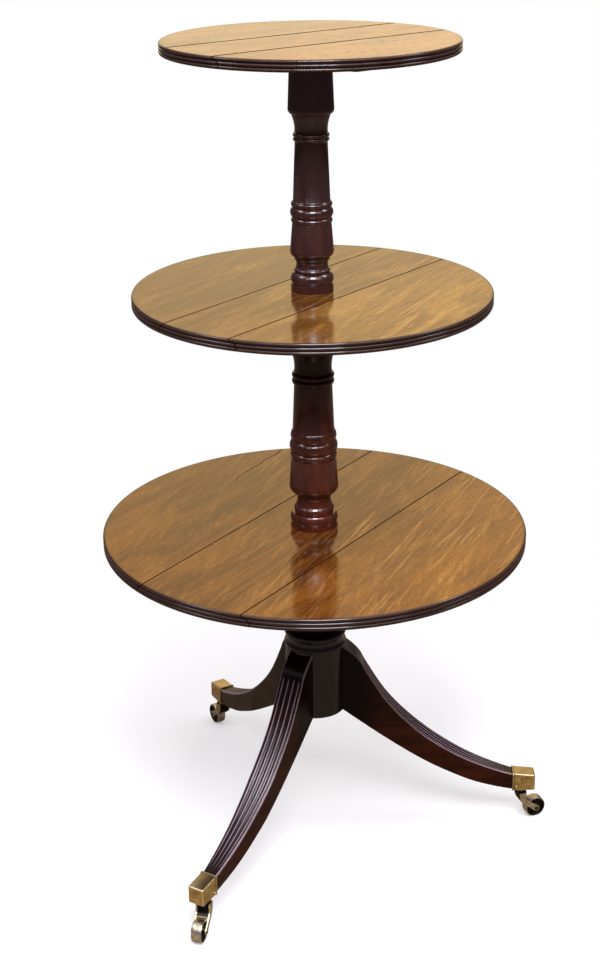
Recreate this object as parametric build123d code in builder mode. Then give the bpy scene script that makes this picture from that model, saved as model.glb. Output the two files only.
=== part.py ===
"""Three-tier dumbwaiter table with drop leaves, a turned column and a castered tripod.

Millimetres, +Z up. The origin is on the floor, under the axis of the column.
+X points along the right leg of the photograph and +Y points away from the viewer.
Each tier has its own plan direction s (along its leaf joints) and o (across them).
"""
from build123d import *
from math import cos, radians, sin, sqrt
import os

os.makedirs("parts", exist_ok=True)

# Tiers, from the top down
top_tier_radius = 196.5
middle_tier_radius = 247.5
bottom_tier_radius = 305.0
top_tier_height = 1190.0
middle_tier_height = 856.0
bottom_tier_height = 505.0
top_board_thickness = 15.0
middle_board_thickness = 16.0
bottom_board_thickness = 17.0
top_centre_width = 102.0
middle_centre_width = 110.0
bottom_centre_width = 164.0
top_tier_angle = 37.5
middle_tier_angle = 52.0
bottom_tier_angle = 56.0

# Reeded rim and rule joint
reed_count = 3
reed_groove_depth = 1.9
rule_quirk = 2.5
rule_gap = 0.4

# Table hinges, let in flush under the boards
hinge_width = 30.0
hinge_plate_thickness = 1.5
knuckle_radius = 3.0
knuckle_cover = 0.1
hinge_pin_radius = 1.5
fixed_flap_reach = 20.0
leaf_flap_reach = 34.0
hinge_gap = 0.3
hinge_place_share = 0.66
running_clearance = 0.05

# Bearer under each centre board, and the fly brackets that hold up the leaves
bearer_thickness = 18.0
bearer_width = 60.0
bearer_side_margin = 8.0
bracket_thickness = 16.0
bracket_leaf_clearance = 3.3
bracket_top_gap = 0.4
bracket_pivot_distance = 46.0
bracket_tip_depth = 7.0
bracket_curve_length = 26.0
top_bracket_length = 102.0
middle_bracket_length = 130.0
bottom_bracket_length = 160.0
top_bracket_depth = 27.0
middle_bracket_depth = 31.0
bottom_bracket_depth = 33.0
bracket_pin_radius = 2.5
bracket_pin_head_radius = 5.5
bracket_pin_head_thickness = 2.5
bracket_pin_bite = 9.0

# Column
spindle_radius = 12.0
socket_depth = 32.0
turning_gap = 0.3
top_spindle_bite = 9.0
upper_plinth_radius = 29.25
lower_plinth_radius = 34.25
pillar_radius = 46.25
pillar_base_height = 205.5

# Legs
right_leg_angle = 0.0
front_leg_angle = -120.0
back_leg_angle = 120.0
leg_flat_distance = 40.2
leg_shoulder_height = 313.0
leg_heel_run = 33.0
leg_heel_drop = 25.5
leg_toe_reach = 303.0
leg_toe_top_height = 84.3
leg_toe_bottom_height = 57.2
leg_root_width = 38.0
leg_toe_width = 22.0
leg_reed_count = 4
leg_reed_depth = 1.8
leg_reed_shaving = 0.35
groove_width_share = 0.75
leg_arris_width = 1.5
dovetail_depth = 14.0
dovetail_root_width = 11.0
dovetail_end_width = 16.0
dovetail_top_margin = 16.0
strap_thickness = 2.5
strap_width = 17.0
strap_arm_run = 31.0
strap_disc_radius = 26.0

# Brass caps and casters
cap_length = 35.0
cap_top_slope_share = 0.1
cap_wall = 1.7
cap_end_wall = 2.2
cap_lip_length = 2.6
cap_lip_proud = 0.9
cap_edge_radius = 1.0
stem_setback = 14.5
stem_radius = 3.2
stem_length = 14.0
stem_hole_margin = 1.2
caster_trail = 24.0
wheel_radius = 16.5
wheel_width = 15.0
wheel_edge_radius = 1.4
wheel_recess_depth = 2.6
wheel_hub_radius = 5.6
wheel_rim_wall = 3.0
wheel_side_gap = 0.4
axle_radius = 2.4
fork_arm_thickness = 3.2
fork_collar_radius = 7.5
fork_collar_thickness = 3.6
fork_eye_radius = 5.2
fork_neck_radius = 6.2
fork_elbow_radius = 4.6
fork_elbow_reach = 2.5
fork_elbow_height = 33.5
rivet_head_radius = 3.6
rivet_head_height = 1.0
right_caster_angle = 20.0
front_caster_angle = -105.0
back_caster_angle = 120.0

cut_overrun = 2.0
arc_share = cos(radians(45))

# Turned outlines from the foot up: share of the length, share of the plinth radius, and how
# far the stretch that ends there bulges out (or hollows in), as a share of its own length
upper_turning_shares = (
    (0.000, 1.000, 0),
    (0.032, 1.000, 0),
    (0.034, 0.937, 0),
    (0.083, 0.868, 0.20),
    (0.084, 0.786, 0),
    (0.102, 0.786, 0.36),
    (0.144, 0.831, -0.16),
    (0.154, 0.838, 0),
    (0.191, 1.012, 0.20),
    (0.305, 0.913, 0),
    (0.309, 0.896, 0),
    (0.334, 0.896, 0.25),
    (0.381, 0.889, 0.22),
    (0.407, 0.882, 0.27),
    (0.410, 0.860, 0),
    (0.670, 0.752, 0),
    (0.673, 0.773, 0),
    (0.691, 0.773, 0.32),
    (0.710, 0.773, 0.32),
    (0.711, 0.759, 0),
    (0.782, 0.875, -0.06),
    (0.790, 0.885, 0),
    (0.817, 1.051, 0.20),
    (1.000, 0.974, 0),
)
lower_turning_shares = (
    (0.000, 1.000, 0),
    (0.018, 1.000, 0),
    (0.019, 0.946, 0),
    (0.067, 0.917, 0.16),
    (0.069, 0.800, 0),
    (0.101, 0.777, 0.20),
    (0.146, 0.727, -0.10),
    (0.157, 0.730, 0),
    (0.211, 1.022, 0.22),
    (0.331, 0.946, 0),
    (0.333, 0.911, 0),
    (0.361, 0.911, 0.23),
    (0.416, 0.899, 0.19),
    (0.461, 0.882, 0.15),
    (0.465, 0.863, 0),
    (0.678, 0.784, 0),
    (0.680, 0.800, 0),
    (0.707, 0.800, 0.27),
    (0.734, 0.800, 0.27),
    (0.735, 0.777, 0),
    (0.830, 0.888, -0.06),
    (0.840, 0.899, 0),
    (0.870, 0.999, 0.20),
    (1.000, 0.969, 0),
)
pillar_turning_shares = (
    (0.000, 0.964, 0),
    (0.408, 0.969, 0),
    (0.410, 0.982, 0),
    (0.429, 0.982, 0.17),
    (0.430, 0.964, 0),
    (0.474, 0.964, -0.12),
    (0.475, 0.973, 0),
    (0.498, 0.973, 0.16),
    (0.500, 0.930, 0),
    (0.556, 0.670, -0.20),
    (0.872, 0.638, 0.14),
    (0.875, 0.659, 0),
    (0.900, 0.659, 0.25),
    (0.902, 0.618, 0),
    (0.951, 0.724, -0.12),
    (0.960, 0.783, 0.20),
    (1.000, 0.789, 0),
)

# Leg outline: share of the reach from the pillar, share of the height above the toe
leg_top_shares = (
    (0.053, 0.952), (0.103, 0.887), (0.142, 0.800), (0.266, 0.571),
    (0.437, 0.362), (0.612, 0.209), (0.787, 0.095),
)
leg_bottom_shares = ((0.270, 0.637), (0.441, 0.430), (0.616, 0.250), (0.791, 0.103))

# Course of the grooves between the leg's reeds: share of the way down the top of the leg, and
# how far the groove has lifted out of the wood there, as a share of its depth
leg_groove_shares = (
    (0.145, 0.04), (0.270, 0.04), (0.400, 0.04), (0.530, 0.06),
    (0.660, 0.14), (0.780, 0.26), (0.880, 0.45), (0.960, 1.20),
)


def tier_values(name, radius, height, thickness, centre_width, angle, bracket_length, bracket_depth):
    """The sizes of one tier, with the places that follow from them."""
    joint = centre_width / 2
    pin_height = knuckle_radius + knuckle_cover
    return {
        "name": name,
        "radius": radius,
        "top": height,
        "under": height - thickness,
        "thickness": thickness,
        "joint": joint,
        "s_dir": Vector(cos(radians(angle)), sin(radians(angle)), 0),
        "o_dir": Vector(-sin(radians(angle)), cos(radians(angle)), 0),
        "pin_height": pin_height,
        "ovolo": thickness - rule_quirk - pin_height,
        "hinge_place": hinge_place_share * sqrt(radius**2 - joint**2),
        "bracket_length": bracket_length,
        "bracket_depth": bracket_depth,
        "bracket_offset": joint - pin_height - bracket_leaf_clearance - bracket_thickness / 2,
    }


tiers = (
    tier_values("top", top_tier_radius, top_tier_height, top_board_thickness, top_centre_width,
                top_tier_angle, top_bracket_length, top_bracket_depth),
    tier_values("middle", middle_tier_radius, middle_tier_height, middle_board_thickness,
                middle_centre_width, middle_tier_angle, middle_bracket_length, middle_bracket_depth),
    tier_values("bottom", bottom_tier_radius, bottom_tier_height, bottom_board_thickness,
                bottom_centre_width, bottom_tier_angle, bottom_bracket_length, bottom_bracket_depth),
)
top_tier, middle_tier, bottom_tier = tiers
sides = (("left", 1), ("right", -1))


def plan_plane(tier, height):
    """A level plane at this height, with local x along the leaf joints and y across them."""
    return Plane(origin=(0, 0, height), x_dir=tier["s_dir"], z_dir=(0, 0, 1))


def across_plane(tier, along=0):
    """An upright plane across the leaf joints: local x is across, y is up from the underside."""
    origin = tier["s_dir"] * along + Vector(0, 0, tier["under"])
    return Plane(origin=origin, x_dir=tier["o_dir"], z_dir=tier["s_dir"])


def reeded_disc(tier):
    """A whole round board with reeds worked round its rim, before it is cut into three."""
    reed_height = tier["thickness"] / reed_count
    groove_radius = tier["radius"] - reed_groove_depth
    with BuildPart() as disc:
        with BuildSketch(Plane.XZ):
            with BuildLine():
                Line((0, tier["under"]), (groove_radius, tier["under"]))
                for reed in range(reed_count):
                    low = tier["under"] + reed * reed_height
                    ThreePointArc(
                        (groove_radius, low),
                        (tier["radius"], low + reed_height / 2),
                        (groove_radius, low + reed_height),
                    )
                Line((groove_radius, tier["top"]), (0, tier["top"]))
                Line((0, tier["top"]), (0, tier["under"]))
            make_face()
        revolve(axis=Axis.Z)
    return disc.part


def hinge_places(tier):
    """The two places along a leaf joint where a hinge is let in."""
    return (-tier["hinge_place"], tier["hinge_place"])


def centre_board(tier):
    """The fixed middle board of a tier, with the round half of both rule joints."""
    joint, pin, ovolo = tier["joint"], tier["pin_height"], tier["ovolo"]
    toe = sqrt(ovolo**2 - pin**2)
    slot = knuckle_radius + hinge_gap
    plate_top = knuckle_cover + hinge_plate_thickness
    hinge_room = hinge_width + 2 * hinge_gap
    round_board = reeded_disc(tier)
    with BuildPart() as board:
        add(round_board)
        with BuildSketch(across_plane(tier)):
            with BuildLine():
                Line((-joint, tier["thickness"]), (joint, tier["thickness"]))
                for side in (1, -1):
                    Line((side * joint, tier["thickness"]), (side * joint, pin + ovolo))
                    ThreePointArc(
                        (side * joint, pin + ovolo),
                        (side * (joint + ovolo * arc_share), pin + ovolo * arc_share),
                        (side * (joint + toe), 0),
                    )
                Line((-joint - toe, 0), (joint + toe, 0))
            make_face()
        extrude(amount=tier["radius"] + cut_overrun, both=True, mode=Mode.INTERSECT)
        for along in hinge_places(tier):
            with BuildSketch(across_plane(tier, along)):
                for side in (1, -1):
                    with Locations((side * joint, (pin + slot) / 2)):
                        Rectangle(2 * slot, pin + slot)
                    inner = joint - knuckle_radius - fixed_flap_reach - hinge_gap
                    outer = joint + ovolo + hinge_gap
                    with Locations((side * (inner + joint) / 2, plate_top / 2)):
                        Rectangle(joint - inner, plate_top)
                    with Locations((side * (joint + outer) / 2, (plate_top + hinge_gap) / 2)):
                        Rectangle(outer - joint, plate_top + hinge_gap)
            extrude(amount=hinge_room / 2, both=True, mode=Mode.SUBTRACT)
        with BuildSketch(plan_plane(tier, tier["under"])):
            for side in (1, -1):
                with Locations((bracket_pivot_distance, side * tier["bracket_offset"])):
                    Circle(bracket_pin_radius)
        extrude(amount=bracket_pin_bite, mode=Mode.SUBTRACT)
        bore_depth = tier["thickness"]
        if tier is top_tier:
            bore_depth = top_spindle_bite
        with BuildSketch(plan_plane(tier, tier["under"])):
            Circle(spindle_radius + running_clearance)
        extrude(amount=bore_depth, mode=Mode.SUBTRACT)
    return board.part


def leaf(tier, side):
    """A hinged leaf of a tier, with the hollow half of its rule joint."""
    joint, pin = tier["joint"], tier["pin_height"]
    hollow = tier["ovolo"] + rule_gap
    toe = sqrt(hollow**2 - pin**2)
    lip = pin + sqrt(hollow**2 - rule_gap**2)
    far = tier["radius"] + cut_overrun
    plate_top = knuckle_cover + hinge_plate_thickness
    round_board = reeded_disc(tier)
    with BuildPart() as leaf_board:
        add(round_board)
        with BuildSketch(across_plane(tier)):
            with BuildLine():
                Polyline(
                    (side * (joint + rule_gap), lip),
                    (side * (joint + rule_gap), tier["thickness"]),
                    (side * far, tier["thickness"]),
                    (side * far, 0),
                    (side * (joint + toe), 0),
                )
                ThreePointArc(
                    (side * (joint + toe), 0),
                    (side * (joint + hollow * arc_share), pin + hollow * arc_share),
                    (side * (joint + rule_gap), lip),
                )
            make_face()
        extrude(amount=far, both=True, mode=Mode.INTERSECT)
        reach = joint + knuckle_radius + leaf_flap_reach + hinge_gap
        for along in hinge_places(tier):
            with BuildSketch(across_plane(tier, along)):
                with Locations((side * (joint + reach) / 2, plate_top / 2)):
                    Rectangle(reach - joint, plate_top)
            extrude(amount=hinge_width / 2 + hinge_gap, both=True, mode=Mode.SUBTRACT)
    return leaf_board.part


def hinge_flaps(tier, side, fixed):
    """One half of both hinges of a joint: plates with the knuckles that belong to them."""
    joint, pin = side * tier["joint"], tier["pin_height"]
    knuckle = hinge_width / 3
    outward = -side if fixed else side
    reach = fixed_flap_reach if fixed else leaf_flap_reach
    near = knuckle_radius + hinge_gap
    plate_middle = knuckle_cover + hinge_plate_thickness / 2
    bore = hinge_pin_radius if fixed else hinge_pin_radius + running_clearance
    steps = ((-knuckle, knuckle), (knuckle, knuckle)) if fixed else ((0, knuckle - 2 * hinge_gap),)
    with BuildPart() as flaps:
        for along in hinge_places(tier):
            with BuildSketch(across_plane(tier, along)):
                with Locations((joint + outward * (near + reach) / 2, plate_middle)):
                    Rectangle(reach - near, hinge_plate_thickness)
            extrude(amount=hinge_width / 2, both=True)
            for step, length in steps:
                with BuildSketch(across_plane(tier, along + step)):
                    with Locations((joint, pin)):
                        Circle(knuckle_radius)
                    with Locations((joint + outward * near / 2, plate_middle)):
                        Rectangle(near, hinge_plate_thickness)
                    with Locations((joint, pin)):
                        Circle(bore, mode=Mode.SUBTRACT)
                extrude(amount=length / 2, both=True)
    return flaps.part


def hinge_pins(tier):
    """The pins of all the hinges of a tier."""
    with BuildPart() as pins:
        for along in hinge_places(tier):
            with BuildSketch(across_plane(tier, along)):
                with Locations(*[(side * tier["joint"], tier["pin_height"]) for side in (1, -1)]):
                    Circle(hinge_pin_radius)
            extrude(amount=hinge_width / 2, both=True)
    return pins.part


def bearer(tier):
    """The block across the underside of a centre board, bored for the column's spindle."""
    length = 2 * (tier["joint"] - bearer_side_margin)
    with BuildPart() as block:
        with BuildSketch(plan_plane(tier, tier["under"] - bearer_thickness)):
            RectangleRounded(bearer_width, length, bearer_side_margin)
            Circle(spindle_radius + running_clearance, mode=Mode.SUBTRACT)
        extrude(amount=bearer_thickness)
    return block.part


def bracket(tier, side):
    """A fly bracket, folded along the leaf joint, with its lower tip rounded away."""
    top = tier["under"] - bracket_top_gap
    low = tier["under"] - tier["bracket_depth"]
    root, tip = bracket_pivot_distance, bracket_pivot_distance + tier["bracket_length"]
    offset = side * tier["bracket_offset"]
    half = bracket_thickness / 2
    side_plane = Plane(origin=tier["o_dir"] * offset, x_dir=tier["s_dir"], z_dir=-tier["o_dir"])
    with BuildPart() as arm:
        with BuildSketch(plan_plane(tier, low)):
            with Locations((root, offset)):
                Circle(half)
            with Locations(((root + tip) / 2, offset)):
                Rectangle(tip - root, bracket_thickness)
        extrude(amount=top - low)
        with BuildSketch(side_plane):
            with BuildLine():
                Polyline(
                    (tip - bracket_curve_length, low),
                    (root - bracket_thickness, low),
                    (root - bracket_thickness, top),
                    (tip, top),
                    (tip, top - bracket_tip_depth),
                )
                TangentArc(
                    (tip - bracket_curve_length, low),
                    (tip, top - bracket_tip_depth),
                    tangent=(1, 0),
                )
            make_face()
        extrude(amount=bracket_thickness, both=True, mode=Mode.INTERSECT)
        with BuildSketch(plan_plane(tier, low)):
            with Locations((root, offset)):
                Circle(bracket_pin_radius + running_clearance)
        extrude(amount=tier["bracket_depth"], mode=Mode.SUBTRACT)
        with BuildSketch(plan_plane(tier, low)):
            with Locations((root, offset)):
                Circle(bracket_pin_head_radius + hinge_gap)
        extrude(amount=bracket_pin_head_thickness + hinge_gap, mode=Mode.SUBTRACT)
    return arm.part


def bracket_pins(tier):
    """The two headed screws on which the brackets swing, driven up into the centre board."""
    low = tier["under"] - tier["bracket_depth"]
    places = [(bracket_pivot_distance, side * tier["bracket_offset"]) for side in (1, -1)]
    with BuildPart() as pins:
        with BuildSketch(plan_plane(tier, low)):
            with Locations(*places):
                Circle(bracket_pin_head_radius)
        extrude(amount=bracket_pin_head_thickness)
        with BuildSketch(plan_plane(tier, low)):
            with Locations(*places):
                Circle(bracket_pin_radius)
        extrude(amount=tier["bracket_depth"] + bracket_pin_bite)
    return pins.part


def turned_outline(shares, foot, length, radius):
    """The half outline of a turning, drawn from its foot up, and closed on the axis."""
    points = [(radius * width, foot + length * height) for height, width, bulge in shares]
    Line((0, foot), points[0])
    for (height, width, bulge), start, end in zip(shares[1:], points, points[1:]):
        if not bulge:
            Line(start, end)
            continue
        middle = (
            (start[0] + end[0]) / 2 + bulge * (end[1] - start[1]),
            (start[1] + end[1]) / 2 - bulge * (end[0] - start[0]),
        )
        ThreePointArc(start, middle, end)
    Line(points[-1], (0, foot + length))
    Line((0, foot + length), (0, foot))


def turning(shares, foot, top, radius, spindles, socketed):
    """A turned piece with plain spindles, and a socket in its top for the piece above."""
    with BuildPart() as turned:
        with BuildSketch(Plane.XZ):
            with BuildLine():
                turned_outline(shares, foot, top - foot, radius)
            make_face()
        revolve(axis=Axis.Z)
        for low, high in spindles:
            with BuildSketch(Plane.XY.offset(low)):
                Circle(spindle_radius)
            extrude(amount=high - low)
        if socketed:
            with BuildSketch(Plane.XY.offset(top)):
                Circle(spindle_radius)
            extrude(amount=-socket_depth, mode=Mode.SUBTRACT)
    return turned.part


def save(part, name):
    """Label a finished piece and write it to its own file."""
    part.label = name
    export_step(part, f"parts/{name}.step")


pillar_top = bottom_tier["under"] - bearer_thickness
lower_column_top = middle_tier["under"] - bearer_thickness
upper_column_top = top_tier["under"] - bearer_thickness
lower_column_foot = bottom_tier["top"] + turning_gap
upper_column_foot = middle_tier["top"] + turning_gap

upper_column = turning(
    upper_turning_shares, upper_column_foot, upper_column_top, upper_plinth_radius,
    (
        (lower_column_top - socket_depth, upper_column_foot),
        (upper_column_top, top_tier["under"] + top_spindle_bite - turning_gap),
    ),
    socketed=False,
)
save(upper_column, "upper_column")
lower_column = turning(
    lower_turning_shares, lower_column_foot, lower_column_top, lower_plinth_radius,
    ((pillar_top - socket_depth, lower_column_foot),),
    socketed=True,
)
save(lower_column, "lower_column")

leg_angles = {"right": right_leg_angle, "front": front_leg_angle, "back": back_leg_angle}
leg_root = leg_flat_distance
leg_span = leg_toe_reach - leg_root
dovetail_top = leg_shoulder_height - dovetail_top_margin


def leg_plane(name, height=0):
    """A level plane with local x pointing out along a leg."""
    angle = radians(leg_angles[name])
    return Plane(origin=(0, 0, height), x_dir=(cos(angle), sin(angle), 0), z_dir=(0, 0, 1))


def leg_side_plane(name):
    """An upright plane through the column's axis and a leg: local x is outwards, y is up."""
    angle = radians(leg_angles[name])
    return Plane(
        origin=(0, 0, 0),
        x_dir=(cos(angle), sin(angle), 0),
        z_dir=(sin(angle), -cos(angle), 0),
    )


dovetail_points = (
    (leg_root, -dovetail_root_width / 2),
    (leg_root, dovetail_root_width / 2),
    (leg_root - dovetail_depth, dovetail_end_width / 2),
    (leg_root - dovetail_depth, -dovetail_end_width / 2),
)

plain_pillar = turning(
    pillar_turning_shares, pillar_base_height, pillar_top, pillar_radius, (),
    socketed=True,
)
with BuildPart() as pillar:
    add(plain_pillar)
    for name in leg_angles:
        with BuildSketch(leg_plane(name, pillar_base_height)):
            with Locations((leg_root + pillar_radius / 2, 0)):
                Rectangle(pillar_radius, 2 * pillar_radius)
        extrude(amount=leg_shoulder_height - pillar_base_height, mode=Mode.SUBTRACT)
        with BuildSketch(leg_plane(name, pillar_base_height)):
            Polygon(*dovetail_points, align=None)
        extrude(amount=dovetail_top - pillar_base_height, mode=Mode.SUBTRACT)
save(pillar.part, "base_pillar")


def leg_point(shares, low, high):
    """A point of the leg's outline from its shares of the reach and of a height."""
    return (leg_root + leg_span * shares[0], low + (high - low) * shares[1])


heel_line_end = (leg_root + leg_heel_run, pillar_base_height - leg_heel_drop)
leg_top_points = [
    (leg_root, leg_shoulder_height),
    *[leg_point(shares, leg_toe_top_height, leg_shoulder_height) for shares in leg_top_shares],
    (leg_toe_reach, leg_toe_top_height),
]
stem_reach = leg_toe_reach + stem_setback
cap_outer_end = leg_toe_reach + cap_length
cap_inner_end = cap_outer_end - cap_end_wall
cap_half_width = leg_toe_width / 2 + cap_wall
cap_low = leg_toe_bottom_height - cap_wall


def toe_outline(start, end, proud=0):
    """The corners of the toe between two reaches: level below, and sloping down above."""
    fall = cap_top_slope_share
    return (
        (start, leg_toe_bottom_height - proud),
        (end, leg_toe_bottom_height - proud),
        (end, leg_toe_top_height - (end - leg_toe_reach) * fall + proud),
        (start, leg_toe_top_height - (start - leg_toe_reach) * fall + proud),
    )


def reed_height(half, from_groove):
    """How high a reed's round stands above the top of the leg, at a distance from its groove."""
    sag = leg_reed_depth + leg_reed_shaving
    round_radius = (half**2 + sag**2) / (2 * sag)
    from_crest = half - from_groove
    return leg_reed_shaving - round_radius + sqrt(round_radius**2 - from_crest**2)


def groove(name, number):
    """The cutter of one groove along the top of a leg, between two reeds or beside an arris."""
    across = leg_plane(name).y_dir
    widest = leg_root_width / 2 - leg_arris_width
    side_share = 2 * number / leg_reed_count - 1
    reed_half = widest / leg_reed_count
    with BuildLine(leg_side_plane(name)) as top_line:
        Spline(*leg_top_points)
    points = []
    for share, lift in leg_groove_shares:
        place, way = top_line.line @ share, top_line.line % share
        reach = place.dot(leg_plane(name).x_dir)
        taper = max(0, 2 * (reach - leg_root) / leg_span - 1)
        half = widest - taper * (leg_root_width - leg_toe_width) / 2
        points.append(place + across * (half * side_share) + way.cross(across) * (leg_reed_depth * lift))
    with BuildLine() as course:
        Spline(*points)
    start = Plane(origin=course.line @ 0, x_dir=across, z_dir=course.line % 0)
    outer = reed_half * groove_width_share
    middle = outer / 2
    with BuildPart() as cutter:
        with BuildSketch(start):
            for side in (1, -1):
                if side * side_share < 1:
                    with BuildLine():
                        Polyline(
                            (0, -leg_reed_depth),
                            (0, leg_reed_depth),
                            (side * outer, leg_reed_depth),
                            (side * outer, reed_height(reed_half, outer)),
                        )
                        ThreePointArc(
                            (side * outer, reed_height(reed_half, outer)),
                            (side * middle, reed_height(reed_half, middle)),
                            (0, -leg_reed_depth),
                        )
                    make_face()
        sweep(path=course.line)
    return cutter.part


def leg(name):
    """A reeded sabre leg: shaped from the side, tapered in plan, with a dovetail and a toe."""
    grooves = [groove(name, number) for number in range(leg_reed_count + 1)]
    with BuildPart() as sabre:
        with BuildSketch(leg_side_plane(name)):
            with BuildLine():
                Line((leg_root, pillar_base_height), (leg_root, leg_shoulder_height))
                Spline(*leg_top_points)
                Polyline(*toe_outline(leg_toe_reach, cap_inner_end))
                Spline(
                    (leg_toe_reach, leg_toe_bottom_height),
                    *[leg_point(p, leg_toe_bottom_height, pillar_base_height)
                      for p in reversed(leg_bottom_shares)],
                    heel_line_end,
                )
                Line(heel_line_end, (leg_root, pillar_base_height))
            make_face()
        extrude(amount=leg_root_width, both=True)
        with BuildSketch(leg_plane(name)):
            with BuildLine():
                Polyline(
                    (leg_root, -leg_root_width / 2),
                    (leg_root + leg_span / 2, -leg_root_width / 2),
                    (leg_toe_reach, -leg_toe_width / 2),
                    (cap_inner_end, -leg_toe_width / 2),
                    (cap_inner_end, leg_toe_width / 2),
                    (leg_toe_reach, leg_toe_width / 2),
                    (leg_root + leg_span / 2, leg_root_width / 2),
                    (leg_root, leg_root_width / 2),
                    close=True,
                )
            make_face()
        extrude(amount=leg_shoulder_height + cut_overrun, mode=Mode.INTERSECT)
        with BuildSketch(leg_plane(name, pillar_base_height)):
            Polygon(*dovetail_points, align=None)
        extrude(amount=dovetail_top - pillar_base_height)
        with BuildSketch(leg_plane(name, leg_toe_bottom_height)):
            with Locations((stem_reach, 0)):
                Circle(stem_radius + stem_hole_margin)
        extrude(amount=stem_length, mode=Mode.SUBTRACT)
        for cutter in grooves:
            add(cutter, mode=Mode.SUBTRACT)
    return sabre.part


def cap(name):
    """A cast brass box cap over the toe of a leg, with a raised lip at its mouth."""
    outward = Axis((0, 0, 0), leg_plane(name).x_dir)
    with BuildPart() as box_cap:
        with BuildSketch(leg_side_plane(name)):
            Polygon(*toe_outline(leg_toe_reach, cap_outer_end, cap_wall), align=None)
        extrude(amount=cap_half_width, both=True)
        mouth = box_cap.faces().sort_by(outward)[0]
        fillet(box_cap.edges() - mouth.edges(), cap_edge_radius)
        with BuildSketch(leg_side_plane(name)):
            lip_end = leg_toe_reach + cap_lip_length
            Polygon(*toe_outline(leg_toe_reach, lip_end, cap_wall + cap_lip_proud), align=None)
        extrude(amount=cap_half_width + cap_lip_proud, both=True)
        with BuildSketch(leg_side_plane(name)):
            Polygon(*toe_outline(leg_toe_reach, cap_inner_end), align=None)
        extrude(amount=leg_toe_width / 2, both=True, mode=Mode.SUBTRACT)
        with BuildSketch(leg_plane(name, cap_low)):
            with Locations((stem_reach, 0)):
                Circle(stem_radius + running_clearance)
        extrude(amount=cap_wall, mode=Mode.SUBTRACT)
    return box_cap.part


caster_angles = {
    "right": right_caster_angle,
    "front": front_caster_angle,
    "back": back_caster_angle,
}
fork_half_width = wheel_width / 2 + wheel_side_gap + fork_arm_thickness
elbow_place = (fork_elbow_reach, fork_elbow_height)
neck_place = (0, cap_low - fork_collar_thickness - fork_neck_radius)
axle_place = (caster_trail, wheel_radius)


def stem_point(name):
    """The point on the floor under a caster's stem."""
    angle = radians(leg_angles[name])
    return Vector(stem_reach * cos(angle), stem_reach * sin(angle), 0)


def trail_plane(name):
    """An upright plane through a caster's stem: local x is along its trail, y is up."""
    angle = radians(caster_angles[name])
    return Plane(
        origin=stem_point(name),
        x_dir=(cos(angle), sin(angle), 0),
        z_dir=(sin(angle), -cos(angle), 0),
    )


def fork(name):
    """A caster's horn: a pintle, a collar, and two bent arms that hold the axle."""
    stem = stem_point(name)
    with BuildPart() as horn:
        with BuildSketch(trail_plane(name)):
            with Locations(neck_place):
                Circle(fork_neck_radius)
            with Locations(elbow_place):
                Circle(fork_elbow_radius)
            make_hull()
        extrude(amount=fork_half_width, both=True)
        with BuildSketch(trail_plane(name)):
            with Locations(elbow_place):
                Circle(fork_elbow_radius)
            with Locations(axle_place):
                Circle(fork_eye_radius)
            make_hull()
        extrude(amount=fork_half_width, both=True)
        with BuildSketch(trail_plane(name)):
            with Locations(axle_place):
                Circle(wheel_radius + fork_arm_thickness / 2)
        extrude(amount=wheel_width / 2 + wheel_side_gap, both=True, mode=Mode.SUBTRACT)
        with BuildSketch(trail_plane(name)):
            with Locations(axle_place):
                Circle(axle_radius)
        extrude(amount=fork_half_width, both=True, mode=Mode.SUBTRACT)
        with BuildSketch(Plane(origin=stem + Vector(0, 0, neck_place[1]))):
            Circle(fork_collar_radius)
        extrude(amount=cap_low - neck_place[1])
        with BuildSketch(Plane(origin=stem + Vector(0, 0, cap_low))):
            Circle(stem_radius)
        extrude(amount=stem_length - hinge_gap)
    return horn.part


def axle(name):
    """A riveted axle through a caster's horn."""
    with BuildPart() as rod:
        with BuildSketch(trail_plane(name)):
            with Locations(axle_place):
                Circle(axle_radius)
        extrude(amount=fork_half_width + rivet_head_height, both=True)
        for side in (1, -1):
            with BuildSketch(trail_plane(name).offset(side * fork_half_width)):
                with Locations(axle_place):
                    Circle(rivet_head_radius)
            extrude(amount=side * rivet_head_height)
    return rod.part


def wheel(name):
    """A brass caster wheel with a rounded tread, dished sides and a hub."""
    half = wheel_width / 2
    recess_outer = wheel_radius - wheel_rim_wall
    plane = trail_plane(name)
    with BuildPart() as roller:
        with BuildSketch(plane):
            with Locations(axle_place):
                Circle(wheel_radius)
        extrude(amount=half, both=True)
        tread_edges = roller.edges().filter_by(GeomType.CIRCLE)
        fillet(tread_edges, wheel_edge_radius)
        for side in (1, -1):
            with BuildSketch(plane.offset(side * half)):
                with Locations(axle_place):
                    Circle(recess_outer)
                    Circle(wheel_hub_radius, mode=Mode.SUBTRACT)
            extrude(amount=-side * wheel_recess_depth, mode=Mode.SUBTRACT)
        with BuildSketch(plane):
            with Locations(axle_place):
                Circle(axle_radius + running_clearance)
        extrude(amount=wheel_width, both=True, mode=Mode.SUBTRACT)
    return roller.part


for name in leg_angles:
    save(leg(name), f"{name}_leg")
    save(cap(name), f"{name}_cap")
    save(fork(name), f"{name}_caster_fork")
    save(axle(name), f"{name}_caster_axle")
    save(wheel(name), f"{name}_caster_wheel")

heel_slope = leg_heel_drop / leg_heel_run
strap_drop = strap_arm_run * heel_slope
strap_skew = strap_thickness * sqrt(1 + heel_slope**2)

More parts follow.
